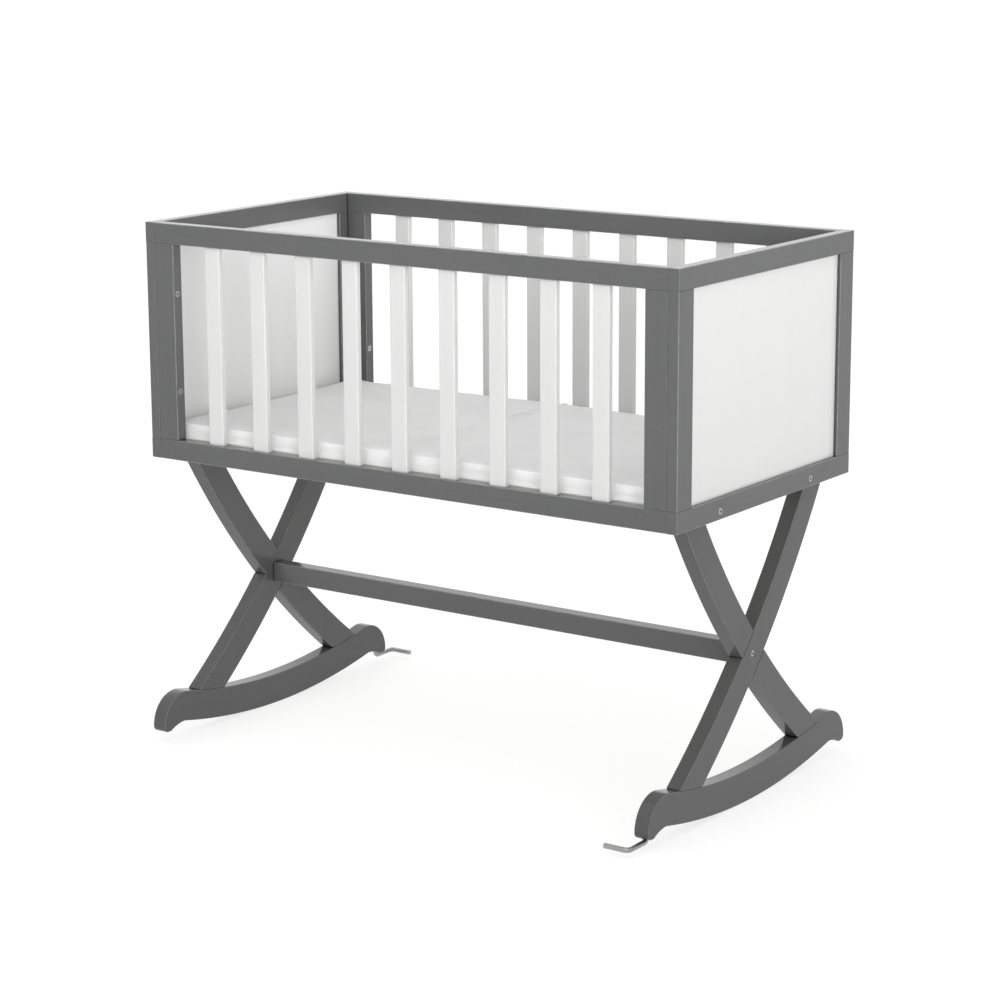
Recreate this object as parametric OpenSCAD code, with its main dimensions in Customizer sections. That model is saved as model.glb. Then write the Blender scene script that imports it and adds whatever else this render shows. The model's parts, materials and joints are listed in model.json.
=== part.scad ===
// Baby cradle: a slatted open box on a crossed-leg rocking stand.
// X runs along the cradle, Y across it and Z up.
// The origin is on the floor, under the middle of the cradle.

/* [Box] */
// Length of the box over its two end frames
box_length = 970; // [900:1:1040]
// Width of the box over its two side frames
box_width = 505; // [480:1:560]
// Height of the box from the lower edge of its frames to the top
box_height = 373; // [330:1:420]
// Height of the lower edge of the box above the floor
box_lift = 458; // [440:1:480]

/* [Frames] */
// Height of every horizontal rail
rail_height = 32; // [30:1:36]
// Thickness of the end frames
end_thickness = 18; // [16:1:22]
// Thickness of the side frames
side_thickness = 19; // [16:1:22]
// Width of the uprights in the end frames
end_stile_width = 40; // [36:1:50]
// Width of the uprights in the side frames
side_stile_width = 37; // [34:1:50]
// Radius of the softened long edges
edge_radius = 1.5; // [1:0.5:3]

/* [Infill] */
// Number of slats in each side frame
slat_count = 9; // [5:1:9]
// Width of a slat
slat_width = 28; // [20:1:34]
// Thickness of a slat
slat_thickness = 10; // [8:1:12]
// Depth that a slat end is housed in its rail
slat_housing = 10; // [6:1:14]
// Thickness of an end panel
panel_thickness = 6; // [4:1:8]
// Depth of the groove that holds an end panel
panel_groove = 6; // [4:1:8]

/* [Stand] */
// Width of a leg across its curve
leg_width = 47; // [40:1:50]
// Thickness of a leg and of a rocker
leg_thickness = 25; // [22:1:28]
// Radius of the gentle curve of a leg
leg_radius = 1500; // [1300:50:2000]
// Height of the leg crossing above the floor
crossing_height = 226; // [215:1:235]
// Slant of the legs at their crossing, from the vertical
crossing_angle = 42.5; // [40:0.5:44]
// Height of the stretcher between the two leg crossings
stretcher_height = 32; // [28:1:40]
// Thickness of the stretcher
stretcher_thickness = 25; // [20:1:30]
// Height of the rail that joins the leg tops
head_rail_height = 21; // [20:1:24]

/* [Rockers] */
// Radius of the running edge of a rocker
rocker_radius = 1120; // [1000:10:1300]
// Depth of a rocker
rocker_depth = 49; // [44:1:54]
// Distance from the middle of a rocker to the start of its rounded end
rocker_reach = 242; // [235:1:255]
// Drop of the toe below the rounded end's centre
toe_drop = 9; // [7:1:11]

/* [Bed] */
// Length of the mattress
mattress_length = 914; // [880:1:920]
// Width of the mattress
mattress_width = 457; // [430:1:460]
// Thickness of the mattress
mattress_thickness = 25; // [20:1:40]
// Thickness of the mattress board
board_thickness = 9; // [6:1:12]
// Height and depth of the cleats under the board
cleat_size = 16; // [12:1:18]

/* [Rocking stops] */
// Diameter of the bent steel rod
rod_d = 8; // [6:1:8]
// Inside radius of the bush bore beyond the rod's own radius
rod_play = 0.05; // [0.03:0.01:0.1]
// Outer diameter of the bush in the toe
bush_d = 11; // [10:0.5:12]
// Length of the bush
bush_length = 26; // [20:1:28]
// Distance from the middle of a rocker to the stem of the rod
stem_reach = 277; // [275:1:278]
// Length of the arm next to the stem, from the stem's axis to the next arm's axis
near_arm = 48; // [40:1:70]
// Length of the arm at the rod's free end, from the near arm's axis
far_arm = 40; // [30:1:60]
// Centreline radius of the bends
bend_radius = 7.5; // [7:0.5:8]
// Height of the rod's first bend that is hidden in the toe
hidden_bend = 2; // [1:0.5:2]

/* [Fasteners] */
// Thread diameter of the furniture bolts
bolt_d = 6; // [5:1:6]
// Head diameter of the furniture bolts
bolt_head_d = 10; // [9:0.5:10]
// Head height of the furniture bolts
bolt_head_h = 4; // [3:0.5:5]
// Outer diameter of the threaded inserts
insert_d = 9; // [8:0.5:10]
// Length of the threaded inserts
insert_length = 12; // [10:1:12]
// Diameter of the wooden dowels
dowel_d = 8; // [6:1:8]
// Length of the wooden dowels
dowel_length = 30; // [24:1:30]

/* [Hidden] */
fine = 48;
smooth = 720;
groove_play = 0.1;
overcut = 1;

end_outer = box_length / 2;
end_inner = end_outer - end_thickness;
side_outer = box_width / 2;
side_inner = side_outer - side_thickness;
side_mid = (side_outer + side_inner) / 2;
box_top = box_lift + box_height;
top_rail_z = box_top - rail_height;
low_rail_top = box_lift + rail_height;
stile_height = top_rail_z - low_rail_top;

side_run = 2 * end_inner;
slat_run = side_run - 2 * side_stile_width;
slat_pitch = (slat_run - slat_count * slat_width) / (slat_count + 1) + slat_width;
panel_run = box_width - 2 * end_stile_width;

leg_inner = end_inner - leg_thickness;
leg_mid = end_inner - leg_thickness / 2;
leg_centre_y = -leg_radius * cos(crossing_angle);
leg_centre_z = crossing_height + leg_radius * sin(crossing_angle);
head_rail_length = 410;

rocker_top_radius = rocker_radius - rocker_depth;
toe_centre_z = rocker_radius - sqrt(rocker_radius ^ 2 - rocker_reach ^ 2);
toe_round = toe_drop;
toe_flat = 6;
toe_hollow_reach = rocker_depth - toe_round - toe_flat;
toe_hollow_radius = (toe_hollow_reach ^ 2 + toe_drop ^ 2) / (2 * toe_drop);
toe_bottom = toe_centre_z - toe_drop;
bush_z = toe_bottom + hidden_bend;
arm_z = bush_z - bend_radius;

board_z = box_lift + head_rail_height;
mattress_z = board_z + board_thickness;
board_end_play = 3;
board_side_play = 2.5;
cleat_end_play = 4;
board_length = side_run - 2 * board_end_play;
board_width = 2 * (side_inner - board_side_play);
cleat_length = 2 * (leg_inner - cleat_end_play);

corner_bolt_rises = [109, 263];
corner_bolt_heights = [for (rise = corner_bolt_rises) box_lift + rise];
stand_bolt_rise = 12;
stand_bolt_y = 132.5;
stand_bolt_z = box_lift + stand_bolt_rise;
bolt_hole_d = bolt_d + 0.6;
counterbore_d = bolt_head_d + 1;
head_recess = 0.5;
counterbore_depth = bolt_head_h + head_recess;
crossing_head_recess = 1.5;
crossing_counterbore = bolt_head_h + crossing_head_recess;
tip_gap = 1;
socket_d = 5;
socket_depth = 2.5;
barrel_nut_d = 10;
barrel_nut_length = 16;
barrel_nut_setback = 22;
barrel_nut_x = leg_inner - barrel_nut_setback;
bolt_past_nut = 8;
crossing_bolt_tip_x = barrel_nut_x - bolt_past_nut;
leg_dowel_into_rail = 12;
screw_d = 4;
screw_head_d = 8;
screw_length = 28;
screw_places = [-330, -110, 110, 330];

function leg_y(z) = leg_centre_y + sqrt(leg_radius ^ 2 - (z - leg_centre_z) ^ 2);
function rocker_top_z(y) = rocker_radius - sqrt(rocker_top_radius ^ 2 - y ^ 2);
function slat_x(place) = (place - (slat_count + 1) / 2) * slat_pitch;

leg_top_y = leg_y(box_lift);
leg_foot_y = 174;
top_dowel_z = box_lift + leg_dowel_into_rail - dowel_length;
foot_dowel_z = rocker_top_z(leg_foot_y) - dowel_length / 2;

ENDS = ["left", "right"];
SIDES = ["front", "rear"];
END_PARTS = ["top_rail", "bottom_rail", "front_stile", "rear_stile", "panel"];
SIDE_PARTS = ["top_rail", "bottom_rail", "left_stile", "right_stile", "cleat"];
STAND_PARTS = ["head_rail", "front_leg", "rear_leg", "rocker"];

// ---- Shared shapes ----

// Rectangle with softened corners, its lowest corner at the origin
module soft_rectangle(width, height) {
    translate([edge_radius, 0])
        square([width - 2 * edge_radius, height]);
    translate([0, edge_radius])
        square([width, height - 2 * edge_radius]);
    for (x = [edge_radius, width - edge_radius])
        for (y = [edge_radius, height - edge_radius])
            translate([x, y])
                circle(r = edge_radius, $fn = fine);
}

// Bar along X: from its lowest corner, with the four long edges softened
module bar_x(corner, size) {
    translate(corner)
        rotate([90, 0, 90])
            linear_extrude(size[0])
                soft_rectangle(size[1], size[2]);
}

// Bar along Y
module bar_y(corner, size) {
    translate(corner + [0, size[1], 0])
        rotate([90, 0, 0])
            linear_extrude(size[1])
                soft_rectangle(size[0], size[2]);
}

// Bar along Z
module bar_z(corner, size) {
    translate(corner)
        linear_extrude(size[2])
            soft_rectangle(size[0], size[1]);
}

// Cylinder along +X from the given point
module rod_x(point, diameter, length) {
    translate(point)
        rotate([0, 90, 0])
            cylinder(d = diameter, h = length, $fn = fine);
}

// Cylinder along +Z from the given point
module rod_z(point, diameter, length) {
    translate(point)
        cylinder(d = diameter, h = length, $fn = fine);
}

// The same thing at the left end, mirrored, or at the right end
module at_end(end) {
    if (end == "left")
        mirror([1, 0, 0])
            children();
    else
        children();
}

// The same thing on the front side, mirrored, or on the rear side
module at_side(side) {
    if (side == "front")
        mirror([0, 1, 0])
            children();
    else
        children();
}

module at_both_ends() {
    for (end = ENDS)
        at_end(end)
            children();
}

module at_corners() {
    for (end = ENDS)
        for (side = SIDES)
            at_end(end)
                at_side(side)
                    children();
}

// ---- Fasteners and their holes ----

// Bolt along X with its socket head towards +X: the head's outer face is at the point
module bolt_x(point, length) {
    difference() {
        union() {
            rod_x(point - [bolt_head_h, 0, 0], bolt_head_d, bolt_head_h);
            rod_x(point - [bolt_head_h + length, 0, 0], bolt_d, length);
        }
        translate(point - [socket_depth, 0, 0])
            rotate([0, 90, 0])
                cylinder(d = socket_d, h = socket_depth + overcut, $fn = 6);
    }
}

module corner_bolt_holes() {
    for (z = corner_bolt_heights)
        translate([end_inner - side_stile_width - overcut, side_mid, z]) {
            rod_x([0, 0, 0], bolt_hole_d, side_stile_width + 2 * overcut);
            rod_x([0, 0, 0], counterbore_d, counterbore_depth + overcut);
        }
}

module corner_insert_holes() {
    for (z = corner_bolt_heights)
        rod_x([end_inner - overcut, side_mid, z], insert_d, insert_length + overcut);
}

module crossing_bolt_hole() {
    hole_end_x = crossing_bolt_tip_x - tip_gap;
    rod_x([hole_end_x, 0, crossing_height], bolt_hole_d, end_inner - hole_end_x + overcut);
    rod_x([end_inner - crossing_counterbore, 0, crossing_height],
        counterbore_d, crossing_counterbore + overcut);
}

// The eight upright dowels of an end frame and of the side frames that meet it
module frame_dowels_at_end() {
    end_dowel = [end_outer - end_thickness / 2, side_outer - end_stile_width / 2];
    side_dowel = [end_inner - side_stile_width / 2, side_mid];
    for (place = [end_dowel, side_dowel])
        for (side = [-1, 1])
            for (z = [low_rail_top, top_rail_z])
                rod_z([place[0], side * place[1], z - dowel_length / 2], dowel_d, dowel_length);
}

module leg_dowels_at_end() {
    for (side = [-1, 1]) {
        rod_z([leg_mid, side * leg_top_y, top_dowel_z], dowel_d, dowel_length);
        rod_z([leg_mid, side * leg_foot_y, foot_dowel_z], dowel_d, dowel_length);
    }
}

// ---- End frames ----

module end_panel_blank(play) {
    translate([
        end_outer - end_thickness / 2 - panel_thickness / 2 - play,
        -panel_run / 2 - panel_groove - play,
        low_rail_top - panel_groove - play
    ])
        cube([
            panel_thickness + 2 * play,
            panel_run + 2 * (panel_groove + play),
            stile_height + 2 * (panel_groove + play)
        ]);
}

module end_top_rail(end) {
    color("#5d5d5f")
        at_end(end)
            difference() {
                bar_y([end_inner, -side_outer, top_rail_z], [end_thickness, box_width, rail_height]);
                end_panel_blank(groove_play);
                frame_dowels_at_end();
            }
}

module end_bottom_rail(end) {
    color("#5d5d5f")
        at_end(end)
            difference() {
                bar_y([end_inner, -side_outer, box_lift], [end_thickness, box_width, rail_height]);
                end_panel_blank(groove_play);
                frame_dowels_at_end();
                for (y = [-stand_bolt_y, stand_bolt_y]) {
                    rod_x([end_inner - overcut, y, stand_bolt_z], bolt_hole_d, end_thickness + 2 * overcut);
                    rod_x([end_outer - counterbore_depth, y, stand_bolt_z],
                        counterbore_d, counterbore_depth + overcut);
                }
            }
}

module end_stile(end, side) {
    color("#5d5d5f")
        at_end(end)
            at_side(side)
                difference() {
                    bar_z([end_inner, side_outer - end_stile_width, low_rail_top],
                        [end_thickness, end_stile_width, stile_height]);
                    end_panel_blank(groove_play);
                    corner_insert_holes();
                    frame_dowels_at_end();
                }
}

module end_panel(end) {
    color("#f2f2f0")
        at_end(end)
            end_panel_blank(0);
}

// ---- Side frames ----

module slat_blank(place, play) {
    translate([
        slat_x(place) - slat_width / 2 - play,
        side_mid - slat_thickness / 2 - play,
        low_rail_top - slat_housing - play
    ])
        cube([
            slat_width + 2 * play,
            slat_thickness + 2 * play,
            stile_height + 2 * (slat_housing + play)
        ]);
}

module slat_housings() {
    for (place = [1:slat_count])
        slat_blank(place, groove_play);
}

module side_frame_dowels() {
    at_both_ends()
        frame_dowels_at_end();
}

module side_top_rail(side) {
    color("#5d5d5f")
        at_side(side)
            difference() {
                bar_x([-end_inner, side_inner, top_rail_z], [side_run, side_thickness, rail_height]);
                slat_housings();
                side_frame_dowels();
            }
}

module side_bottom_rail(side) {
    color("#5d5d5f")
        at_side(side)
            difference() {
                bar_x([-end_inner, side_inner, box_lift], [side_run, side_thickness, rail_height]);
                slat_housings();
                side_frame_dowels();
                cleat_screw_row();
            }
}

module side_stile(side, end) {
    color("#5d5d5f")
        at_side(side)
            at_end(end)
                difference() {
                    bar_z([end_inner - side_stile_width, side_inner, low_rail_top],
                        [side_stile_width, side_thickness, stile_height]);
                    corner_bolt_holes();
                    frame_dowels_at_end();
                }
}

module slat(side, place) {
    color("#f6f6f4")
        at_side(side)
            translate([
                slat_x(place) - slat_width / 2,
                side_mid - slat_thickness / 2,
                low_rail_top - slat_housing
            ])
                linear_extrude(stile_height + 2 * slat_housing)
                    soft_rectangle(slat_width, slat_thickness);
}

// ---- Bed ----

// Countersunk screws through a cleat into its side rail
module cleat_screw_row() {
    for (x = screw_places)
        translate([x, side_inner - cleat_size, board_z - cleat_size / 2])
            rotate([-90, 0, 0]) {
                cylinder(d = screw_d, h = screw_length, $fn = fine);
                cylinder(d1 = screw_head_d, d2 = screw_d, h = (screw_head_d - screw_d) / 2, $fn = fine);
            }
}

module cleat(side) {
    color("#c9b493")
        at_side(side)
            difference() {
                bar_x([-cleat_length / 2, side_inner - cleat_size, board_z - cleat_size],
                    [cleat_length, cleat_size, cleat_size]);
                cleat_screw_row();
            }
}

module mattress_board() {
    color("#e9e6df")
        translate([-board_length / 2, -board_width / 2, board_z])
            cube([board_length, board_width, board_thickness]);
}

module mattress() {
    color("#f4f4f2")
        translate([-mattress_length / 2, -mattress_width / 2, mattress_z])
            cube([mattress_length, mattress_width, mattress_thickness]);
}

// ---- Stand ----

// Outline of a leg in the Y-Z plane: it leans to +Y at its top
module leg_profile() {
    intersection() {
        difference() {
            translate([leg_centre_y, leg_centre_z])
                circle(r = leg_radius + leg_width / 2, $fn = smooth);
            translate([leg_centre_y, leg_centre_z])
                circle(r = leg_radius - leg_width / 2, $fn = smooth);
        }
        translate([-side_outer, 0])
            square([2 * side_outer, box_lift]);
        translate([0, rocker_radius])
            circle(r = rocker_top_radius, $fn = smooth);
    }
}

// A Y-Z outline stood up as a board between two X positions
module board_yz(low_x, high_x) {
    translate([low_x, 0, 0])
        rotate([90, 0, 90])
            linear_extrude(high_x - low_x)
                children();
}

// Area that both legs of a crossing cover
module crossing_profile() {
    intersection() {
        leg_profile();
        mirror([1, 0])
            leg_profile();
        translate([-leg_width, crossing_height - leg_width])
            square(2 * leg_width);
    }
}

// Leg whose top is at the given side; at the crossing the outer leg is the one that
// leans back on the right and forward on the left, as one end is the other turned round
module leg(end, side) {
    lap_outside = (end == "right") == (side == "rear");
    color("#5d5d5f")
        at_end(end)
            at_side(side)
                difference() {
                    board_yz(leg_inner, end_inner)
                        leg_profile();
                    if (lap_outside)
                        board_yz(leg_inner - overcut, leg_mid)
                            crossing_profile();
                    else
                        board_yz(leg_mid, end_inner + overcut)
                            crossing_profile();
                    crossing_bolt_hole();
                    leg_dowels_at_end();
                }
}

module rocker_profile() {
    difference() {
        intersection() {
            translate([0, rocker_radius])
                circle(r = rocker_radius, $fn = smooth);
            translate([-rocker_reach, 0])
                square([2 * rocker_reach, toe_centre_z + rocker_depth]);
        }
        translate([0, rocker_radius])
            circle(r = rocker_top_radius, $fn = smooth);
    }
    for (turn = [0, 1])
        mirror([turn, 0])
            translate([rocker_reach, toe_centre_z])
                rocker_end_profile();
}

// Rounded end and hooked toe, from the centre of the rounding
module rocker_end_profile() {
    intersection() {
        circle(r = rocker_depth, $fn = smooth);
        translate([-rocker_depth, 0])
            square(2 * rocker_depth);
    }
    difference() {
        translate([0, -toe_drop])
            square([rocker_depth - toe_round, toe_drop]);
        translate([0, -toe_hollow_radius])
            circle(r = toe_hollow_radius, $fn = smooth);
    }
    translate([rocker_depth - toe_round, 0])
        circle(r = toe_round, $fn = fine);
}

module rocker(end) {
    color("#5d5d5f")
        at_end(end)
            difference() {
                board_yz(leg_inner, end_inner)
                    rocker_profile();
                leg_dowels_at_end();
                if (end == "right")
                    stem_hole();
                else
                    mirror([0, 1, 0])
                        stem_hole();
            }
}

module head_rail(end) {
    color("#5d5d5f")
        at_end(end)
            difference() {
                bar_y([leg_inner, -head_rail_length / 2, box_lift],
                    [leg_thickness, head_rail_length, head_rail_height]);
                leg_dowels_at_end();
                for (y = [-stand_bolt_y, stand_bolt_y])
                    rod_x([end_inner - insert_length, y, stand_bolt_z], insert_d, insert_length + overcut);
            }
}

module stretcher() {
    color("#5d5d5f")
        difference() {
            bar_x([-leg_inner, -stretcher_thickness / 2, crossing_height - stretcher_height / 2],
                [2 * leg_inner, stretcher_thickness, stretcher_height]);
            at_both_ends() {
                crossing_bolt_hole();
                rod_z([barrel_nut_x, 0, crossing_height - stretcher_height / 2 - overcut],
                    barrel_nut_d, (stretcher_height + barrel_nut_length) / 2 + overcut);
            }
        }
}

// ---- Rocking stops ----

module stem_hole() {
    rod_z([leg_mid, -stem_reach, 0], bush_d, bush_z + bush_length);
}

// Quarter bend in the X-Y plane, from the origin towards +Y, turning to +X
module quarter_bend() {
    translate([bend_radius, 0, 0])
        rotate([0, 0, 90])
            rotate_extrude(angle = 90, $fn = smooth / 4)
                translate([bend_radius, 0])
                    circle(d = rod_d, $fn = fine);
}

// Bent rod under the front toe: a stem, an arm away from the rocker and an arm along it
module stop_rod() {
    color("#c4c6c9")
        translate([leg_mid, -stem_reach, arm_z]) {
            translate([0, 0, bend_radius])
                cylinder(d = rod_d, h = bush_length, $fn = fine);
            translate([0, 0, bend_radius])
                rotate([0, 0, 180])
                    rotate([-90, 0, 90])
                        quarter_bend();
            translate([0, -bend_radius, 0])
                rotate([90, 0, 0])
                    cylinder(d = rod_d, h = near_arm - 2 * bend_radius, $fn = fine);
            translate([0, bend_radius - near_arm, 0])
                rotate([0, 0, 180])
                    quarter_bend();
            translate([-bend_radius, -near_arm, 0])
                rotate([0, -90, 0])
                    cylinder(d = rod_d, h = far_arm - bend_radius, $fn = fine);
        }
}

module half_turn() {
    rotate([0, 0, 180])
        children();
}

module stop_bush() {
    difference() {
        rod_z([leg_mid, -stem_reach, bush_z], bush_d, bush_length);
        rod_z([leg_mid, -stem_reach, bush_z - overcut], rod_d + 2 * rod_play, bush_length + 2 * overcut);
    }
}

module stop_bushes() {
    color("#8d8f92") {
        stop_bush();
        half_turn()
            stop_bush();
    }
}

// ---- Fastener groups ----

module corner_bolts() {
    color("#b9bbbe")
        at_corners()
            for (z = corner_bolt_heights)
                translate([end_inner - side_stile_width + head_recess, side_mid, z])
                    mirror([1, 0, 0])
                        bolt_x([0, 0, 0], side_stile_width - counterbore_depth + insert_length - tip_gap);
}

module stand_bolts() {
    color("#b9bbbe")
        at_both_ends()
            for (y = [-stand_bolt_y, stand_bolt_y])
                bolt_x([end_outer - head_recess, y, stand_bolt_z],
                    end_thickness - counterbore_depth + insert_length - tip_gap);
}

module crossing_bolts() {
    color("#b9bbbe")
        at_both_ends()
            bolt_x([end_inner - crossing_counterbore + bolt_head_h, 0, crossing_height],
                end_inner - crossing_counterbore - crossing_bolt_tip_x);
}

module insert_nut(x, y, z) {
    difference() {
        rod_x([x, y, z], insert_d, insert_length);
        rod_x([x - overcut, y, z], bolt_d, insert_length + 2 * overcut);
    }
}

module insert_nuts() {
    color("#c9a85c") {
        at_corners()
            for (z = corner_bolt_heights)
                insert_nut(end_inner, side_mid, z);
        at_both_ends()
            for (y = [-stand_bolt_y, stand_bolt_y])
                insert_nut(end_inner - insert_length, y, stand_bolt_z);
    }
}

module barrel_nuts() {
    color("#b9bbbe")
        at_both_ends()
            difference() {
                rod_z([barrel_nut_x, 0, crossing_height - barrel_nut_length / 2],
                    barrel_nut_d, barrel_nut_length);
                rod_x([barrel_nut_x - barrel_nut_d, 0, crossing_height], bolt_d, 2 * barrel_nut_d);
            }
}

module frame_dowels() {
    color("#d8c29a")
        at_both_ends()
            frame_dowels_at_end();
}

module leg_dowels() {
    color("#d8c29a")
        at_both_ends()
            leg_dowels_at_end();
}

module cleat_screws() {
    color("#8f9194")
        for (side = SIDES)
            at_side(side)
                cleat_screw_row();
}

// ---- The assembly ----

for (end = ENDS) {
    end_top_rail(end);
    end_bottom_rail(end);
    end_stile(end, "front");
    end_stile(end, "rear");
    end_panel(end);
    head_rail(end);
    leg(end, "front");
    leg(end, "rear");
    rocker(end);
}
for (side = SIDES) {
    side_top_rail(side);
    side_bottom_rail(side);
    side_stile(side, "left");
    side_stile(side, "right");
    cleat(side);
    for (place = [1:slat_count])
        slat(side, place);
}
stretcher();
mattress_board();
mattress();
stop_rod();  // right_front_stop
half_turn() stop_rod();  // left_rear_stop
stop_bushes();
corner_bolts();
stand_bolts();
crossing_bolts();
insert_nuts();
barrel_nuts();
frame_dowels();
leg_dowels();
cleat_screws();
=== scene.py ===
import json
import math

import bmesh
import bpy
from mathutils import Matrix, Vector, noise


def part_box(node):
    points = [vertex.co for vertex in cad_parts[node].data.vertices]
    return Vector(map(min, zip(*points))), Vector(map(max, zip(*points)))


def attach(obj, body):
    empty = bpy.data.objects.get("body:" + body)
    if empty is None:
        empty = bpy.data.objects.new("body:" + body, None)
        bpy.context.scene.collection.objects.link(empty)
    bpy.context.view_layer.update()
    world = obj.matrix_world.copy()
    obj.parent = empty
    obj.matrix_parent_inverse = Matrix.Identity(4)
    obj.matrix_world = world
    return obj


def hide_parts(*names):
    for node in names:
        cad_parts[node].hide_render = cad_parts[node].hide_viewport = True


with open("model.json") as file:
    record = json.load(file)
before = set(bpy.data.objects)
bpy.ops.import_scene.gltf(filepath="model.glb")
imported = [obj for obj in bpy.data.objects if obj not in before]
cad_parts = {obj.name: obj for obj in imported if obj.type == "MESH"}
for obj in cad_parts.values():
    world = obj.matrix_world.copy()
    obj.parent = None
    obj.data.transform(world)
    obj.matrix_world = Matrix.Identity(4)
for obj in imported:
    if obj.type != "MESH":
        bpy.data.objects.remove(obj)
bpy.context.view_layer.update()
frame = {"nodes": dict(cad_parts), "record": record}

NODES = frame["nodes"]
BODY_OF = {
    node: body
    for body, members in frame["record"]["behaviour"]["bodies"].items()
    for node in members
}
SLOT_OF = {row["node"]: row["material_slot"] for row in frame["record"]["subparts"]}
MM = 0.001

# ---------------------------------------------------------------- camera and studio

# The camera's place, its turn from straight back, its tilt down and its roll.
CAMERA_PLACE = (2.4415, -3.4765, 1.3562)
CAMERA_TURN = math.radians(34.98)
CAMERA_DROP = math.radians(12.67)
CAMERA_ROLL = math.radians(-0.25)
LENS = 100.3
SENSOR_WIDTH = 36
FAR_CLIP = 300


def put_in_scene(name, data):
    """A new object in the scene that shows the given mesh, camera or light."""
    thing = bpy.data.objects.new(name, data)
    bpy.context.scene.collection.objects.link(thing)
    return thing


def smooth_piece(name, form, material):
    """The form as a smooth-shaded object of the given material; the form itself is used up."""
    for face in form.faces:
        face.smooth = True
    mesh = bpy.data.meshes.new(name)
    form.to_mesh(mesh)
    form.free()
    mesh.materials.append(material)
    return put_in_scene(name, mesh)


def make_camera():
    """A long lens from the front right, a little above the top rails."""
    turn, drop, roll = CAMERA_TURN, CAMERA_DROP, CAMERA_ROLL
    ahead = Vector((-math.sin(turn) * math.cos(drop), math.cos(turn) * math.cos(drop), -math.sin(drop)))
    level = Vector((math.cos(turn), math.sin(turn), 0))
    raised = level.cross(ahead)
    right = level * math.cos(roll) + raised * math.sin(roll)
    up = raised * math.cos(roll) - level * math.sin(roll)
    data = bpy.data.cameras.new("camera")
    data.lens = LENS
    data.sensor_width = SENSOR_WIDTH
    data.clip_end = FAR_CLIP
    camera = put_in_scene("camera", data)
    turned = Matrix((right, up, -ahead)).transposed().to_4x4()
    camera.matrix_world = Matrix.Translation(CAMERA_PLACE) @ turned
    bpy.context.scene.camera = camera


# The room's radiance: a middle value, how it changes with direction, an extra glow behind the cradle and
# a white band round the horizon. The band fades out between two values of the direction's upward part.
ROOM_GLOW = 0.65
ROOM_TILT = (-0.25, -0.02, 0.42)
BACKDROP_GLOW = 0.45
BACKDROP_WAY = (-0.57, 0.82, 0.0)
SKIRTING_GLOW = 1.02
SKIRTING_HEIGHT = (0.18, 0.28)


def feed(tree, socket, value):
    """Link another node's output to the socket, or write a plain value on it."""
    if isinstance(value, bpy.types.NodeSocket):
        tree.links.new(value, socket)
    else:
        socket.default_value = value


def math_node(tree, operation, first, second):
    """A Math node in the tree, fed with numbers or with other nodes' outputs."""
    node = tree.nodes.new("ShaderNodeMath")
    node.operation = operation
    feed(tree, node.inputs[0], first)
    feed(tree, node.inputs[1], second)
    return node.outputs["Value"]


def vector_math(tree, operation, first, second):
    """A Vector Math node in the tree, fed like the Math node."""
    node = tree.nodes.new("ShaderNodeVectorMath")
    node.operation = operation
    feed(tree, node.inputs[0], first)
    feed(tree, node.inputs[1], second)
    return node


def make_surround():
    """A white room: brighter toward the ceiling and the backdrop, and white low down all round."""
    world = bpy.data.worlds.new("surround")
    world.use_nodes = True
    tree = world.node_tree
    place = tree.nodes.new("ShaderNodeTexCoord").outputs["Generated"]

    def toward(way):
        return vector_math(tree, "DOT_PRODUCT", place, way).outputs["Value"]

    behind = math_node(tree, "MAXIMUM", toward(BACKDROP_WAY), 0.0)
    behind = math_node(tree, "MULTIPLY", math_node(tree, "MULTIPLY", behind, behind), BACKDROP_GLOW)
    around = math_node(tree, "ADD", toward(ROOM_TILT), ROOM_GLOW)
    skirting = tree.nodes.new("ShaderNodeMapRange")
    fade_start, fade_end = SKIRTING_HEIGHT
    skirting.inputs["From Min"].default_value = fade_start
    skirting.inputs["From Max"].default_value = fade_end
    skirting.inputs["To Min"].default_value = SKIRTING_GLOW
    skirting.inputs["To Max"].default_value = 0.0
    tree.links.new(toward((0, 0, 1)), skirting.inputs["Value"])
    glow = math_node(tree, "MAXIMUM", math_node(tree, "ADD", around, behind), skirting.outputs["Result"])
    background = tree.nodes["Background"]
    background.inputs["Color"].default_value = (1, 1, 1, 1)
    tree.links.new(glow, background.inputs["Strength"])
    bpy.context.scene.world = world


def make_light(name, place, aim, width, height, glow, spread=180, glossy=True):
    """A rectangular softbox; glow is its face's radiance where it spreads over 180 degrees."""
    data = bpy.data.lights.new(name, "AREA")
    data.shape = "RECTANGLE"
    data.size = width
    data.size_y = height
    data.energy = glow * math.pi * width * height
    data.spread = math.radians(spread)
    light = put_in_scene(name, data)
    light.visible_camera = False
    light.visible_glossy = glossy
    light.location = place
    light.rotation_euler = (Vector(aim) - Vector(place)).to_track_quat("-Z", "Y").to_euler()


FLOOR_HALF = 90
FLOOR_CELLS = 8
FLOOR_GLOW = 0.74


def make_studio():
    """A pale floor in a white room, broad soft lights and a narrow strip for the edges."""
    bpy.context.scene.view_settings.view_transform = "Standard"
    make_surround()
    make_light(
        "right_side",
        place=(2.9, -1.9, 1.75),
        aim=(0, 0, 1.35),
        width=2.2,
        height=1.6,
        glow=0.76,
        spread=40,
        glossy=False,
    )
    make_light("high_front", place=(0.7, -1.7, 2.9), aim=(0, 0, 0.6), width=2.4, height=1.8, glow=1.05)
    make_light("edge_strip", place=(2.05, -1.75, 0.62), aim=(0, 0, 0.55), width=0.16, height=1.15, glow=4.0)

    form = bmesh.new()
    bmesh.ops.create_grid(form, x_segments=FLOOR_CELLS, y_segments=FLOOR_CELLS, size=FLOOR_HALF)
    floor = smooth_piece("studio_floor", form, pale_floor())


# ---------------------------------------------------------------- materials

# The part of its range that a sum of noises really fills.
NOISE_SPAN = (0.35, 0.65)


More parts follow.
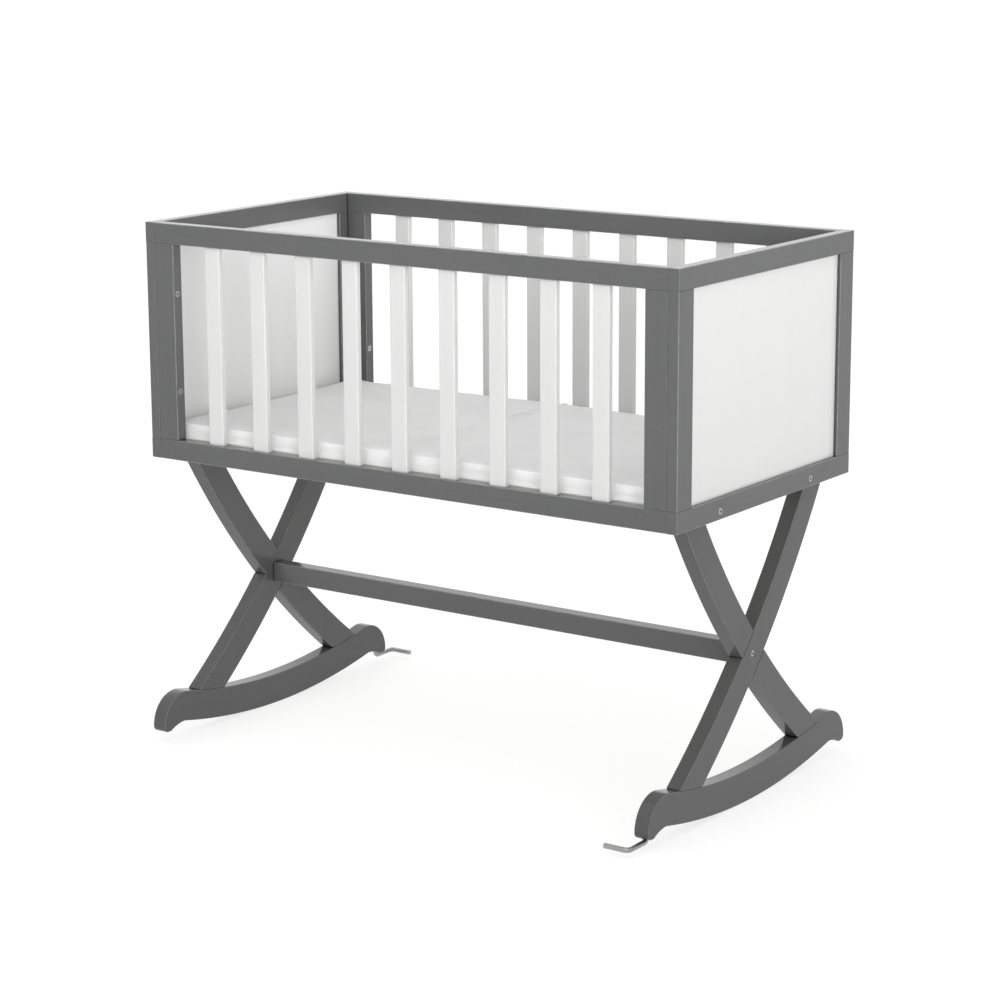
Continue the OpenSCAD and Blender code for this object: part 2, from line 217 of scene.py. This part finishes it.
class Finish:
    """A Principled material, with short ways to add and join nodes."""

    def __init__(self, name, **inputs):
        self.material = bpy.data.materials.new(name)
        self.material.use_nodes = True
        self.tree = self.material.node_tree
        self.shader = self.tree.nodes["Principled BSDF"]
        self.set(self.shader, inputs)
        self.place = self.add("ShaderNodeTexCoord").outputs["Object"]

    def set(self, node, inputs):
        """Feed a node's sockets, whose names are written with underscores for spaces."""
        for key, value in inputs.items():
            feed(self.tree, node.inputs[key.replace("_", " ")], value)

    def add(self, kind, props=None, **inputs):
        """A new node with its properties set and its sockets fed."""
        node = self.tree.nodes.new(kind)
        for key, value in (props or {}).items():
            setattr(node, key, value)
        self.set(node, inputs)
        return node

    def along(self, grain):
        """The place in the texture, drawn out along the grain."""
        scale, turn = GRAIN_ALONG[grain]
        mapping = self.add("ShaderNodeMapping", Vector=self.place, Scale=scale, Rotation=turn)
        return mapping.outputs["Vector"]

    def noise(self, scale, detail=3.0, roughness=0.5, place=None, distortion=0.0):
        node = self.add(
            "ShaderNodeTexNoise",
            Vector=place or self.place,
            Scale=scale,
            Detail=detail,
            Roughness=roughness,
            Distortion=distortion,
        )
        return node.outputs["Fac"]

    def ramp(self, value, low, high, start=0.0, end=1.0):
        """Runs from low to high while the value goes from start to end."""
        node = self.add(
            "ShaderNodeMapRange", Value=value, From_Min=start, From_Max=end, To_Min=low, To_Max=high
        )
        return node.outputs["Result"]

    def math(self, operation, first, second):
        return math_node(self.tree, operation, first, second)

    def blend(self, factor, first, second):
        """The first colour where the factor is 0, the second where it is 1."""
        node = self.add("ShaderNodeMix", {"data_type": "RGBA"})
        sockets = [s for s in node.inputs if s.enabled]
        for socket, value in zip(sockets, (factor, first, second)):
            feed(self.tree, socket, value)
        return [s for s in node.outputs if s.enabled][0]

    def mixed(self, *shares):
        """Noises added up by their shares, then spread over the whole way from 0 to 1."""
        total = self.math("MULTIPLY", *shares[0])
        for share in shares[1:]:
            total = self.math("ADD", total, self.math("MULTIPLY", *share))
        return self.ramp(total, 0, 1, *NOISE_SPAN)

    def shades(self, tone, colour, spread):
        """The colour, darker by the spread where the tone is 0 and lighter by it where the tone is 1."""
        return self.blend(tone, tint(colour, 1 - spread), tint(colour, 1 + spread))

    def bump(self, height, distance, strength, normal=None):
        node = self.add("ShaderNodeBump", Height=height, Distance=distance, Strength=strength)
        if normal is not None:
            self.set(node, {"Normal": normal})
        return node.outputs["Normal"]

    def rim(self, curved):
        """0 on the faces of a member, 1 on the roundings between them.

        A straight member's faces look along one axis. A curved one has faces along X and others across it.
        """
        normal = self.add("ShaderNodeNewGeometry").outputs["Normal"]
        square = vector_math(self.tree, "MULTIPLY", normal, normal).outputs["Vector"]
        if curved:
            side = self.add("ShaderNodeSeparateXYZ", Vector=square).outputs["X"]
            turned = self.math("MULTIPLY", side, self.math("SUBTRACT", 1.0, side))
            return self.ramp(turned, 0, 1, 0.04, 0.15)
        straight = vector_math(self.tree, "DOT_PRODUCT", square, square).outputs["Value"]
        return self.ramp(straight, 1, 0, 0.70, 0.92)

    def occlusion_shade(self, reach):
        """Painted shade mask: 0 in the open, rising to 1 in the narrow corner where two parts meet."""
        node = self.add("ShaderNodeAmbientOcclusion", {"samples": 4}, Distance=reach)
        return self.ramp(node.outputs["AO"], 1.0, 0.0, 0.58, 0.94)

    def colour(self, socket):
        self.set(self.shader, {"Base_Color": socket})

    def finish(self, roughness, normal):
        """The material, once its shader has its roughness and its bumps."""
        self.set(self.shader, {"Roughness": roughness, "Normal": normal})
        return self.material


def grey(value):
    """An opaque neutral colour."""
    return (value, value, value, 1.0)


def tint(colour, factor):
    """The colour made lighter or darker by the factor, opaque."""
    return tuple(min(1.0, c * factor) for c in colour) + (1.0,)


LEG_SLANT = math.radians(42)
# Stretch and turn of a texture for each direction of the grain.
GRAIN_ALONG = {
    "x": ((0.04, 1, 1), (0, 0, 0)),
    "y": ((1, 0.04, 1), (0, 0, 0)),
    "z": ((1, 1, 0.04), (0, 0, 0)),
    "rear_slant": ((1, 1, 0.04), (LEG_SLANT, 0, 0)),
    "front_slant": ((1, 1, 0.04), (-LEG_SLANT, 0, 0)),
}
BOX_GREY = (0.104, 0.104, 0.105)
# The stand wears the box's grey paint, made darker here as painted shade for the low parts.
STAND_GREY_SHADED = (0.081, 0.081, 0.082)
SLAT_WHITE = (0.595, 0.595, 0.593)
PANEL_WHITE = (0.62, 0.62, 0.618)
# The end panels' inner white is painted lighter: painted light for the inside of the box.
PANEL_INSIDE_LIT = (0.76, 0.76, 0.758)
# Each paint's colour, how much paler its edges are (a painted highlight, a little rubbed), how much darker
# its painted shade is in a corner where parts meet, and its mottling.
PAINTS = {
    "box": (BOX_GREY, 2.4, 0.25, 0.07),
    "stand": (STAND_GREY_SHADED, 2.0, 0.25, 0.07),
    "slat": (SLAT_WHITE, 1.25, 0.72, 0.012),
    "panel": (PANEL_WHITE, 1.12, 0.72, 0.012),
}
PAINT_IOR = 1.36
SHADE_REACH = 3 * MM
# Halfway through an end panel, where its white changes from the inner one, painted lighter as painted
# light for the inside of the box, to the outer one.
PANEL_LOW, PANEL_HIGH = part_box("right_end_panel")
PANEL_MIDDLE = (PANEL_LOW.x + PANEL_HIGH.x) / 2
# The paints made so far, which parts of one kind and grain share.
_painted = {}


def painted_wood(kind, grain, curved=False):
    """Sprayed semi-gloss paint over wood: faint grain, orange peel, paler edges and darker corners.

    The paler edges are a painted highlight, a little rubbed; the darker corners are painted shade.
    """
    key = (kind, grain, curved)
    if key in _painted:
        return _painted[key]
    colour, edge_highlight, corner_shade, spread = PAINTS[kind]
    coat = Finish(f"{kind}_paint_{grain}" + ("_curved" if curved else ""), IOR=PAINT_IOR)
    along = coat.along(grain)
    fibres = coat.noise(260, 5, 0.62, along, 0.4)
    figure = coat.noise(34, 3, 0.5, along, 1.2)
    mottle = coat.noise(330, 2, 0.5)
    cloud = coat.noise(5.5, 2, 0.5)
    peel = coat.noise(1100, 2, 0.5)
    rub = coat.noise(70, 4, 0.6)
    tone = coat.mixed((cloud, 0.3), (figure, 0.3), (mottle, 0.4))
    body = coat.shades(tone, colour, spread)
    # The inner faces of the end panels take the lighter white: painted light inside the box.
    if kind == "panel":
        inside = coat.add("ShaderNodeSeparateXYZ", Vector=coat.place).outputs["X"]
        inside = coat.ramp(coat.math("ABSOLUTE", inside, 0.0), 1, 0, PANEL_MIDDLE - MM, PANEL_MIDDLE + MM)
        body = coat.blend(inside, body, tint(PANEL_INSIDE_LIT, 1.0))
    # Edges painted paler: a painted highlight along the roundings, broken up by a rubbing noise.
    rub_and_highlight = coat.math("MULTIPLY", coat.rim(curved), coat.ramp(rub, 0.5, 1.0, 0.35, 0.7))
    body = coat.blend(rub_and_highlight, body, tint(colour, edge_highlight))
    # Painted shade: the paint goes darker where ambient occlusion finds a narrow corner between parts.
    coat.colour(coat.blend(coat.occlusion_shade(SHADE_REACH), body, tint(colour, corner_shade)))
    gloss = coat.ramp(coat.math("ADD", fibres, cloud), 0.13, 0.20, 0.8, 1.2)
    normal = coat.bump(fibres, 0.08 * MM, 0.12)
    normal = coat.bump(peel, 0.04 * MM, 0.10, normal)
    _painted[key] = coat.finish(gloss, normal)
    return _painted[key]


def bare_wood(name, colour, grain, contrast=0.16):
    """Unpainted timber: streaked growth rings and open fibres."""
    wood = Finish(name, IOR=1.45)
    along = wood.along(grain)
    rings = wood.noise(55, 4, 0.6, along, 2.0)
    fibres = wood.noise(600, 4, 0.6, along)
    tone = wood.mixed((rings, 0.7), (fibres, 0.3))
    wood.colour(wood.shades(tone, colour, contrast))
    normal = wood.bump(fibres, 0.15 * MM, 0.35)
    return wood.finish(wood.ramp(fibres, 0.5, 0.68, 0.3, 0.7), normal)


BOARD_FACING = (0.66, 0.64, 0.59)


def faced_board():
    """Pale hardboard facing with a fine speckle."""
    board = Finish("faced_board", IOR=1.45)
    speckle = board.noise(900, 3, 0.6)
    cloud = board.noise(9, 3, 0.5)
    tone = board.mixed((speckle, 0.5), (cloud, 0.5))
    board.colour(board.shades(tone, BOARD_FACING, 0.07))
    return board.finish(board.ramp(speckle, 0.5, 0.62, 0.3, 0.7), board.bump(speckle, 0.05 * MM, 0.3))


def metal(name, colour, rough, brush="z"):
    """Plated or turned metal: fine directional scratches and cloudy plating."""
    plate = Finish(name, Metallic=1.0)
    scratches = plate.noise(1500, 3, 0.6, plate.along(brush))
    cloud = plate.noise(60, 3, 0.55)
    plate.colour(plate.shades(plate.ramp(cloud, 0, 1, 0.3, 0.7), colour, 0.1))
    gloss = plate.ramp(plate.math("ADD", scratches, cloud), rough * 0.75, rough * 1.35, 0.7, 1.3)
    return plate.finish(gloss, plate.bump(scratches, 0.02 * MM, 0.25))


# White of the cover's top, painted darker as shade, and of its side at half height and at the top edge:
# lighter low on the side as painted light, darker at the edge as painted shade.
COVER_TOP_SHADED = (0.66, 0.66, 0.658)
SIDE_MIDDLE_LIFTED = (0.98, 0.98, 0.977)
SIDE_EDGE_DIMMED = (0.85, 0.85, 0.848)
COVER_MOTTLE = 0.03
THREADS = 300


def mattress_cloth():
    """Tight white polyester knit with a soft sheen, its whites painted with light and shade."""
    cloth = Finish(
        "mattress_cloth",
        IOR=1.45,
        Sheen_Weight=0.2,
        Sheen_Roughness=0.45,
        Subsurface_Weight=0.3,
        Subsurface_Scale=4 * MM,
        Subsurface_Radius=(1, 1, 1),
    )
    waves = []
    for way in "XYZ":
        threads = cloth.add(
            "ShaderNodeTexWave",
            {"wave_type": "BANDS", "wave_profile": "SIN", "bands_direction": way},
            Vector=cloth.place,
            Scale=THREADS,
            Distortion=0.6,
            Detail=1.0,
            Detail_Scale=2.0,
        )
        waves.append(threads.outputs["Fac"])
    along, across, upright = waves
    weave = cloth.math("MULTIPLY", along, across)
    weave = cloth.math("ADD", weave, cloth.math("MULTIPLY", upright, 0.5))
    cloud = cloth.noise(14, 3, 0.5)
    slub = cloth.noise(420, 3, 0.6)
    tone = cloth.mixed((cloud, 0.6), (slub, 0.4))
    top = cloth.shades(tone, COVER_TOP_SHADED, COVER_MOTTLE)
    low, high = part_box("mattress")
    # Painted light on the side: its white runs from lighter at half height to darker at the top edge.
    rise = cloth.add("ShaderNodeSeparateXYZ", Vector=cloth.place).outputs["Z"]
    rise = cloth.ramp(rise, 0, 1, (low.z + high.z) / 2, high.z)
    lifted_side = cloth.shades(tone, SIDE_MIDDLE_LIFTED, COVER_MOTTLE)
    dimmed_edge = cloth.shades(tone, SIDE_EDGE_DIMMED, COVER_MOTTLE)
    band = cloth.blend(rise, lifted_side, dimmed_edge)
    # Lit and shaded copies of one white: the darker one on the top, the lighter band on the side.
    facing = cloth.add("ShaderNodeSeparateXYZ", Vector=cloth.add("ShaderNodeNewGeometry").outputs["Normal"])
    cloth.colour(cloth.blend(cloth.ramp(facing.outputs["Z"], 0, 1, 0.45, 0.8), band, top))
    normal = cloth.bump(weave, 0.10 * MM, 0.25)
    normal = cloth.bump(slub, 0.15 * MM, 0.15, normal)
    return cloth.finish(cloth.ramp(slub, 0.62, 0.78, 0.3, 0.7), normal)


def thread():
    """Twisted polyester sewing thread."""
    yarn = Finish("sewing_thread", IOR=1.45)
    ply = yarn.noise(2600, 2, 0.5)
    yarn.colour(yarn.blend(ply, grey(0.58), grey(0.78)))
    return yarn.finish(yarn.ramp(ply, 0.5, 0.7, 0.3, 0.7), yarn.bump(ply, 0.05 * MM, 0.4))


def pale_floor():
    """Matt white floor, lit a little from below like a studio light table."""
    floor = Finish(
        "pale_floor",
        Specular_IOR_Level=0.0,
        Roughness=1.0,
        Emission_Color=grey(1.0),
        Emission_Strength=FLOOR_GLOW,
    )
    cloud = floor.noise(0.7, 2, 0.5)
    floor.colour(floor.blend(cloud, grey(0.29), grey(0.31)))
    return floor.material


# ---------------------------------------------------------------- wooden parts

# Vertices nearer than the first are one, faces turned less than the second are one, and edges sharper than
# the third get rounded.
WELD = 0.002 * MM
FLAT = math.radians(0.2)
SHARP = math.radians(32)


def grain_of(node):
    """Grain runs the long way of every wooden part."""
    if node.endswith("front_leg"):
        return "front_slant"
    if node.endswith("rear_leg"):
        return "rear_slant"
    low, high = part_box(node)
    size = high - low
    return "xyz"[max(range(3), key=lambda axis: size[axis])]


def clean_form(node):
    """The CAD node's own shape as one closed form with whole flat faces."""
    form = bmesh.new()
    form.from_mesh(NODES[node].data)
    bmesh.ops.remove_doubles(form, verts=form.verts, dist=WELD)
    bmesh.ops.dissolve_limit(form, angle_limit=FLAT, verts=form.verts, edges=form.edges)
    return form


def eased(node, name, material, radius, segments):
    """A part with its sharp edges rounded over, standing for its CAD node."""
    piece = smooth_piece(name, clean_form(node), material)
    bevel = piece.modifiers.new("eased_edges", "BEVEL")
    bevel.width = radius
    bevel.segments = segments
    bevel.limit_method = "ANGLE"
    bevel.angle_limit = SHARP
    bevel.use_clamp_overlap = False
    even = piece.modifiers.new("flat_faces", "WEIGHTED_NORMAL")
    even.mode = "FACE_AREA"
    even.weight = 50
    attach(piece, BODY_OF[node])
    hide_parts(node)


# Radius and segments of each kind of part's rounded edges.
EDGES = {
    "stand": (1.8 * MM, 4),
    "box": (0.7 * MM, 2),
    "white_slat": (1.2 * MM, 3),
    "white_panel": (0.6 * MM, 2),
    "raw_wood": (0.6 * MM, 2),
    "board": (0.8 * MM, 2),
}
PINE = (0.56, 0.42, 0.27)


def make_woodwork():
    """Every rail, upright, leg, rocker, slat and panel, with its own edge."""
    for node in sorted(NODES):
        slot = SLOT_OF[node]
        if slot == "grey_paint":
            shaped = node.endswith("_leg") or node.endswith("rocker")
            kind = "stand" if shaped else "box"
            eased(node, node + "_wood", painted_wood(kind, grain_of(node), shaped), *EDGES[kind])
        elif slot == "white_slat":
            eased(node, node + "_wood", painted_wood("slat", "z"), *EDGES[slot])
        elif slot == "white_panel":
            eased(node, node + "_sheet", painted_wood("panel", "z"), *EDGES[slot])
        elif slot == "raw_wood":
            eased(node, node + "_wood", bare_wood(node + "_pine", PINE, "x"), *EDGES[slot])
        elif slot == "board":
            eased(node, node + "_sheet", faced_board(), *EDGES[slot])


def finish_hardware():
    """The CAD fasteners, rods and dowels keep their shape and get their metal or wood."""
    finishes = {
        "bright_rod": metal("bright_zinc_rod", (0.36, 0.36, 0.37), 0.30, "y"),
        "bush_steel": metal("bush_steel", (0.42, 0.42, 0.44), 0.38),
        "bolt_steel": metal("zinc_bolt", (0.46, 0.46, 0.47), 0.34, "x"),
        "insert_brass": metal("turned_brass", (0.62, 0.46, 0.19), 0.3, "x"),
        "dowel_wood": bare_wood("beech_dowel", (0.60, 0.45, 0.29), "z", 0.1),
    }
    for node, slot in SLOT_OF.items():
        if slot in finishes:
            NODES[node].material_slots[0].material = finishes[slot]


# ---------------------------------------------------------------- mattress

# The sewn pad next to the plain CAD mattress: how far its side stays inside, how far its top stands above.
PAD_INSET = 1.0 * MM
PAD_PUFF = 2.0 * MM
PAD_CORNER = 12 * MM
PAD_EDGE = 2.6 * MM
# Its grid: the cell of the open top, the steps in from each side and the levels up to half its height.
PAD_CELL = 9 * MM
PAD_STEPS = (0, 0.8 * MM, 1.7 * MM, PAD_EDGE, 4 * MM, 6 * MM, 9 * MM, PAD_CORNER)
PAD_LEVELS = (0, 0.03, 0.065, 0.11, 0.18, 0.26, 0.34, 0.41, 0.455, 0.48, 0.5)


def spaced(half, cell, edge_steps, fine=None):
    """Grid stations from -half to half: close together at both edges and in the fine stretch.

    The fine stretch is given by its start, its end and its cell.
    """
    stations = [half - step for step in edge_steps]
    stations = [-s for s in stations] + stations[::-1]
    inner = half - edge_steps[-1]
    marks = [(-inner, cell)]
    if fine:
        fine_start, fine_end, fine_cell = fine
        marks += [(fine_start, fine_cell), (fine_end, cell)]
    marks.append((inner, cell))
    middle = []
    for (start, step), (end, _) in zip(marks, marks[1:]):
        count = max(1, round((end - start) / step))
        middle += [start + (end - start) * i / count for i in range(count)]
    return stations[: len(edge_steps)] + middle[1:] + stations[len(edge_steps):]


def pad_outline(x, y, half_x, half_y):
    """Inset of a point of the square grid, and its place on the rounded outline and the way out."""
    ax, ay = abs(x), abs(y)
    inset = min(half_x - ax, half_y - ay)
    core_x, core_y = half_x - PAD_CORNER, half_y - PAD_CORNER
    if ax > core_x and ay > core_y:
        away = Vector((ax - core_x, ay - core_y))
        out = away.normalized()
        edge = Vector((core_x, core_y)) + out * PAD_CORNER
    elif half_x - ax < half_y - ay:
        out = Vector((1, 0))
        edge = Vector((half_x, ay))
    else:
        out = Vector((0, 1))
        edge = Vector((ax, half_y))
    side = Vector((math.copysign(1, x), math.copysign(1, y)))
    return inset, Vector((edge.x * side.x, edge.y * side.y)), Vector((out.x * side.x, out.y * side.y))


def pad_point(x, y, z, half_x, half_y, height):
    """Where a point of the square-edged grid goes on the pad with round corners and soft edges."""
    inset, edge, out = pad_outline(x, y, half_x, half_y)
    if inset >= PAD_CORNER:
        return Vector((x, y, z))
    near = min(z, height - z)
    if inset < PAD_EDGE and near < PAD_EDGE:
        reach = Vector((PAD_EDGE - inset, PAD_EDGE - near))
        reach = reach * (max(reach) / reach.length)
        inset = PAD_EDGE - reach.x
        near = PAD_EDGE - reach.y
        z = near if z < height / 2 else height - near
    flat = edge - out * inset
    return Vector((flat.x, flat.y, z))


def square_grid(xs, ys, zs, place):
    """A closed box of quads through the given stations, each vertex put where place() says."""
    form = bmesh.new()
    made = {}

    def vert(i, j, k):
        if (i, j, k) not in made:
            made[(i, j, k)] = form.verts.new(place(xs[i], ys[j], zs[k]))
        return made[(i, j, k)]

    def quad(*corners):
        form.faces.new([vert(*corner) for corner in corners])

    last_x, last_y, last_z = len(xs) - 1, len(ys) - 1, len(zs) - 1
    for i in range(last_x):
        for j in range(last_y):
            quad((i, j, last_z), (i + 1, j, last_z), (i + 1, j + 1, last_z), (i, j + 1, last_z))
            quad((i, j, 0), (i, j + 1, 0), (i + 1, j + 1, 0), (i + 1, j, 0))
    for i in range(last_x):
        for k in range(last_z):
            quad((i, 0, k), (i + 1, 0, k), (i + 1, 0, k + 1), (i, 0, k + 1))
            quad((i, last_y, k), (i, last_y, k + 1), (i + 1, last_y, k + 1), (i + 1, last_y, k))
    for j in range(last_y):
        for k in range(last_z):
            quad((0, j, k), (0, j, k + 1), (0, j + 1, k + 1), (0, j + 1, k))
            quad((last_x, j, k), (last_x, j + 1, k), (last_x, j + 1, k + 1), (last_x, j, k + 1))
    return form


# The simulation's length, the height of the rim that stays put on the board, and what is kept of the
# settled shape: this share of the way sideways, and no vertex further than this.
SWELL_FRAMES = 20
SWELL_HELD = 2 * MM
SIDE_GIVE = 0.3
CROWN_CAP = 2.2 * MM


def swell(pad, floor_z):
    """Cloth simulation: the cover fills out over the foam and puckers a little, then is fixed in place."""
    start = [v.co.copy() for v in pad.data.vertices]
    held = pad.vertex_groups.new(name="held")
    for v in pad.data.vertices:
        if v.co.z < floor_z + SWELL_HELD:
            held.add([v.index], 1.0, "REPLACE")
    cloth = pad.modifiers.new("cover", "CLOTH")
    settings = cloth.settings
    settings.quality = 5
    settings.mass = 0.3
    settings.tension_stiffness = 12
    settings.compression_stiffness = 12
    settings.bending_stiffness = 0.6
    settings.use_pressure = True
    settings.uniform_pressure_force = 2.0
    settings.shrink_min = -0.008
    settings.vertex_group_mass = "held"
    settings.effector_weights.gravity = 0
    scene = bpy.context.scene
    for step in range(1, SWELL_FRAMES + 1):
        scene.frame_set(step)
    graph = bpy.context.evaluated_depsgraph_get()
    shape = pad.evaluated_get(graph).data
    settled = [v.co.copy() for v in shape.vertices]
    pad.modifiers.clear()
    scene.frame_set(1)
    for v, old, new in zip(pad.data.vertices, start, settled):
        move = new - old
        move.x *= SIDE_GIVE
        move.y *= SIDE_GIVE
        if move.length > CROWN_CAP:
            move *= CROWN_CAP / move.length
        v.co = old + move


# The crease where the mattress was folded for packing: its place, the stretch of finer grid round it, its
# depth and half width, how far its line wanders, and how faint it is within a short way of the middle.
FOLD_X = -24 * MM
FOLD_REACH = 40 * MM
FOLD_CELL = 1.6 * MM
FOLD_DEPTH = 3.4 * MM
FOLD_WIDTH = 3.2 * MM
FOLD_WANDER = 16 * MM
FOLD_WANDER_PITCH = 4
FOLD_FAINT = 0.25
FOLD_FAINT_REACH = 90 * MM
# The raised bank on each side of it: height as a share of the depth, distance and width in fold widths.
BANK_HEIGHT = 0.7
BANK_AWAY = 2.3 * FOLD_WIDTH
BANK_WIDTH = 1.4 * FOLD_WIDTH
# The short wrinkles that run off it: height as a share of the depth, how far they reach, their slant and
# how often they come, across and along themselves.
WRINKLE_HEIGHT = 0.5
WRINKLE_REACH = 5 * FOLD_WIDTH
WRINKLE_SLANT = 0.55
WRINKLE_PITCH = (95, 9)
FOLD_SEED = 3.1


def bell(distance, width):
    """1 at no distance, falling smoothly to nothing beyond about twice the width."""
    return math.exp(-((distance / width) ** 2))


def fold_dip(x, y):
    """Depth of the crease at a point of the top, less its raised banks and short wrinkles."""
    line = FOLD_X + FOLD_WANDER * noise.noise(Vector((y * FOLD_WANDER_PITCH, FOLD_SEED, 0)))
    off = x - line
    strength = FOLD_FAINT + (1 - FOLD_FAINT) * min(1.0, abs(y) / FOLD_FAINT_REACH)
    bank = BANK_HEIGHT * bell(abs(off) - BANK_AWAY, BANK_WIDTH)
    across, along = WRINKLE_PITCH
    across *= x + WRINKLE_SLANT * y
    along *= y - WRINKLE_SLANT * x
    streak = noise.noise(Vector((across, along, FOLD_SEED)))
    wrinkle = WRINKLE_HEIGHT * streak * bell(off, WRINKLE_REACH)
    return FOLD_DEPTH * strength * (bell(off, FOLD_WIDTH) - bank - wrinkle)


# Soft unevenness of the top and of the side, each with how often it comes, and the drawn-in seam.
UNEVEN = 0.5 * MM
UNEVEN_PITCH = 6
UNEVEN_SEED = 1.7
SIDE_RIPPLE = 0.25 * MM
RIPPLE_PITCH = Vector((55, 55, 80))
SIDE_FACING = 0.3
SEAM_TUG = 0.4 * MM
SEAM_WIDTH = 0.7 * MM


def dress_pad(pad, seam_z, top_half):
    """The crease on the top, the drawn-in seam round the side and soft unevenness."""
    for v in pad.data.vertices:
        x, y, z = v.co
        above = max(0.0, min(1.0, (z - seam_z) / top_half))
        v.co.z -= fold_dip(x, y) * above ** 2
        swelling = noise.noise(Vector((x * UNEVEN_PITCH, y * UNEVEN_PITCH, UNEVEN_SEED)))
        v.co.z += UNEVEN * swelling * above ** 2
    pad.data.update()
    for v in pad.data.vertices:
        out = Vector((v.normal.x, v.normal.y, 0))
        if out.length < SIDE_FACING:
            continue
        out.normalize()
        tug = bell(v.co.z - seam_z, SEAM_WIDTH)
        ripple = noise.noise(v.co * RIPPLE_PITCH)
        v.co -= out * (SEAM_TUG * tug + SIDE_RIPPLE * ripple)


def unit(angle):
    """The level direction at the angle from +X."""
    return Vector((math.cos(angle), math.sin(angle)))


def seam_path(half_x, half_y, inset, count):
    """Evenly spaced points round the rounded outline, each with its heading."""
    core_x, core_y = half_x - PAD_CORNER, half_y - PAD_CORNER
    corners = ((core_x, core_y), (-core_x, core_y), (-core_x, -core_y), (core_x, -core_y))
    straights = (2 * core_x, 2 * core_y, 2 * core_x, 2 * core_y)
    radius = PAD_CORNER - inset
    quarter = math.pi / 2
    arc = quarter * radius
    total = sum(straights) + 4 * arc
    points = []
    for i in range(count):
        along = total * i / count
        for turn, (corner, straight) in enumerate(zip(corners, straights)):
            if along < arc + straight:
                break
            along -= arc + straight
        angle = turn * quarter + min(along, arc) / radius
        heading = angle + quarter
        spot = Vector(corner) + radius * unit(angle) + max(0.0, along - arc) * unit(heading)
        points.append((spot, heading))
    return points


# Each stitch is a small ellipsoid: half its length, width and height, in two rows beside the seam.
STITCH_COUNT = 620
STITCH_HALF = (1.35 * MM, 0.42 * MM, 0.34 * MM)
STITCH_LEVELS = (-1.7 * MM, 1.7 * MM)


def make_stitches(low, high, seam_z):
    """Short threads laid along the side seam, one closed form each."""
    half = (high - low) / 2
    path = seam_path(half.x - PAD_INSET, half.y - PAD_INSET, SEAM_TUG, STITCH_COUNT)
    shape = Matrix.Diagonal(STITCH_HALF + (1,))
    form = bmesh.new()
    for spot, heading in path:
        for level in STITCH_LEVELS:
            place = Matrix.Translation((spot.x, spot.y, seam_z + level))
            turn = Matrix.Rotation(heading, 4, "Z")
            bmesh.ops.create_icosphere(form, subdivisions=1, radius=1.0, matrix=place @ turn @ shape)
    stitches = smooth_piece("mattress_stitches", form, thread())
    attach(stitches, BODY_OF["mattress"])


def pad_form(low, high, height):
    """The plain pad as one closed form of quads, finer at its edges and round the crease."""
    half = (high - low) / 2
    half_x, half_y = half.x - PAD_INSET, half.y - PAD_INSET
    xs = spaced(half_x, PAD_CELL, PAD_STEPS, (FOLD_X - FOLD_REACH, FOLD_X + FOLD_REACH, FOLD_CELL))
    ys = spaced(half_y, PAD_CELL, PAD_STEPS)
    zs = [f * height for f in PAD_LEVELS] + [(1 - f) * height for f in reversed(PAD_LEVELS[:-1])]
    base = Vector(((low.x + high.x) / 2, (low.y + high.y) / 2, low.z))
    return square_grid(xs, ys, zs, lambda x, y, z: base + pad_point(x, y, z, half_x, half_y, height))


def make_mattress():
    """The sewn pad that stands for the plain CAD mattress, with its stitches."""
    low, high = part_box("mattress")
    height = (high - low).z + PAD_PUFF
    seam_z = low.z + height / 2
    pad = smooth_piece("mattress_cover", pad_form(low, high, height), mattress_cloth())
    swell(pad, low.z)
    dress_pad(pad, seam_z, height / 2)
    rounded = pad.modifiers.new("smooth", "SUBSURF")
    rounded.levels = 1
    rounded.render_levels = 1
    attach(pad, BODY_OF["mattress"])
    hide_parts("mattress")
    make_stitches(low, high, seam_z)


# ---------------------------------------------------------------- the scene

make_camera()
make_studio()
make_woodwork()
finish_hardware()
make_mattress()
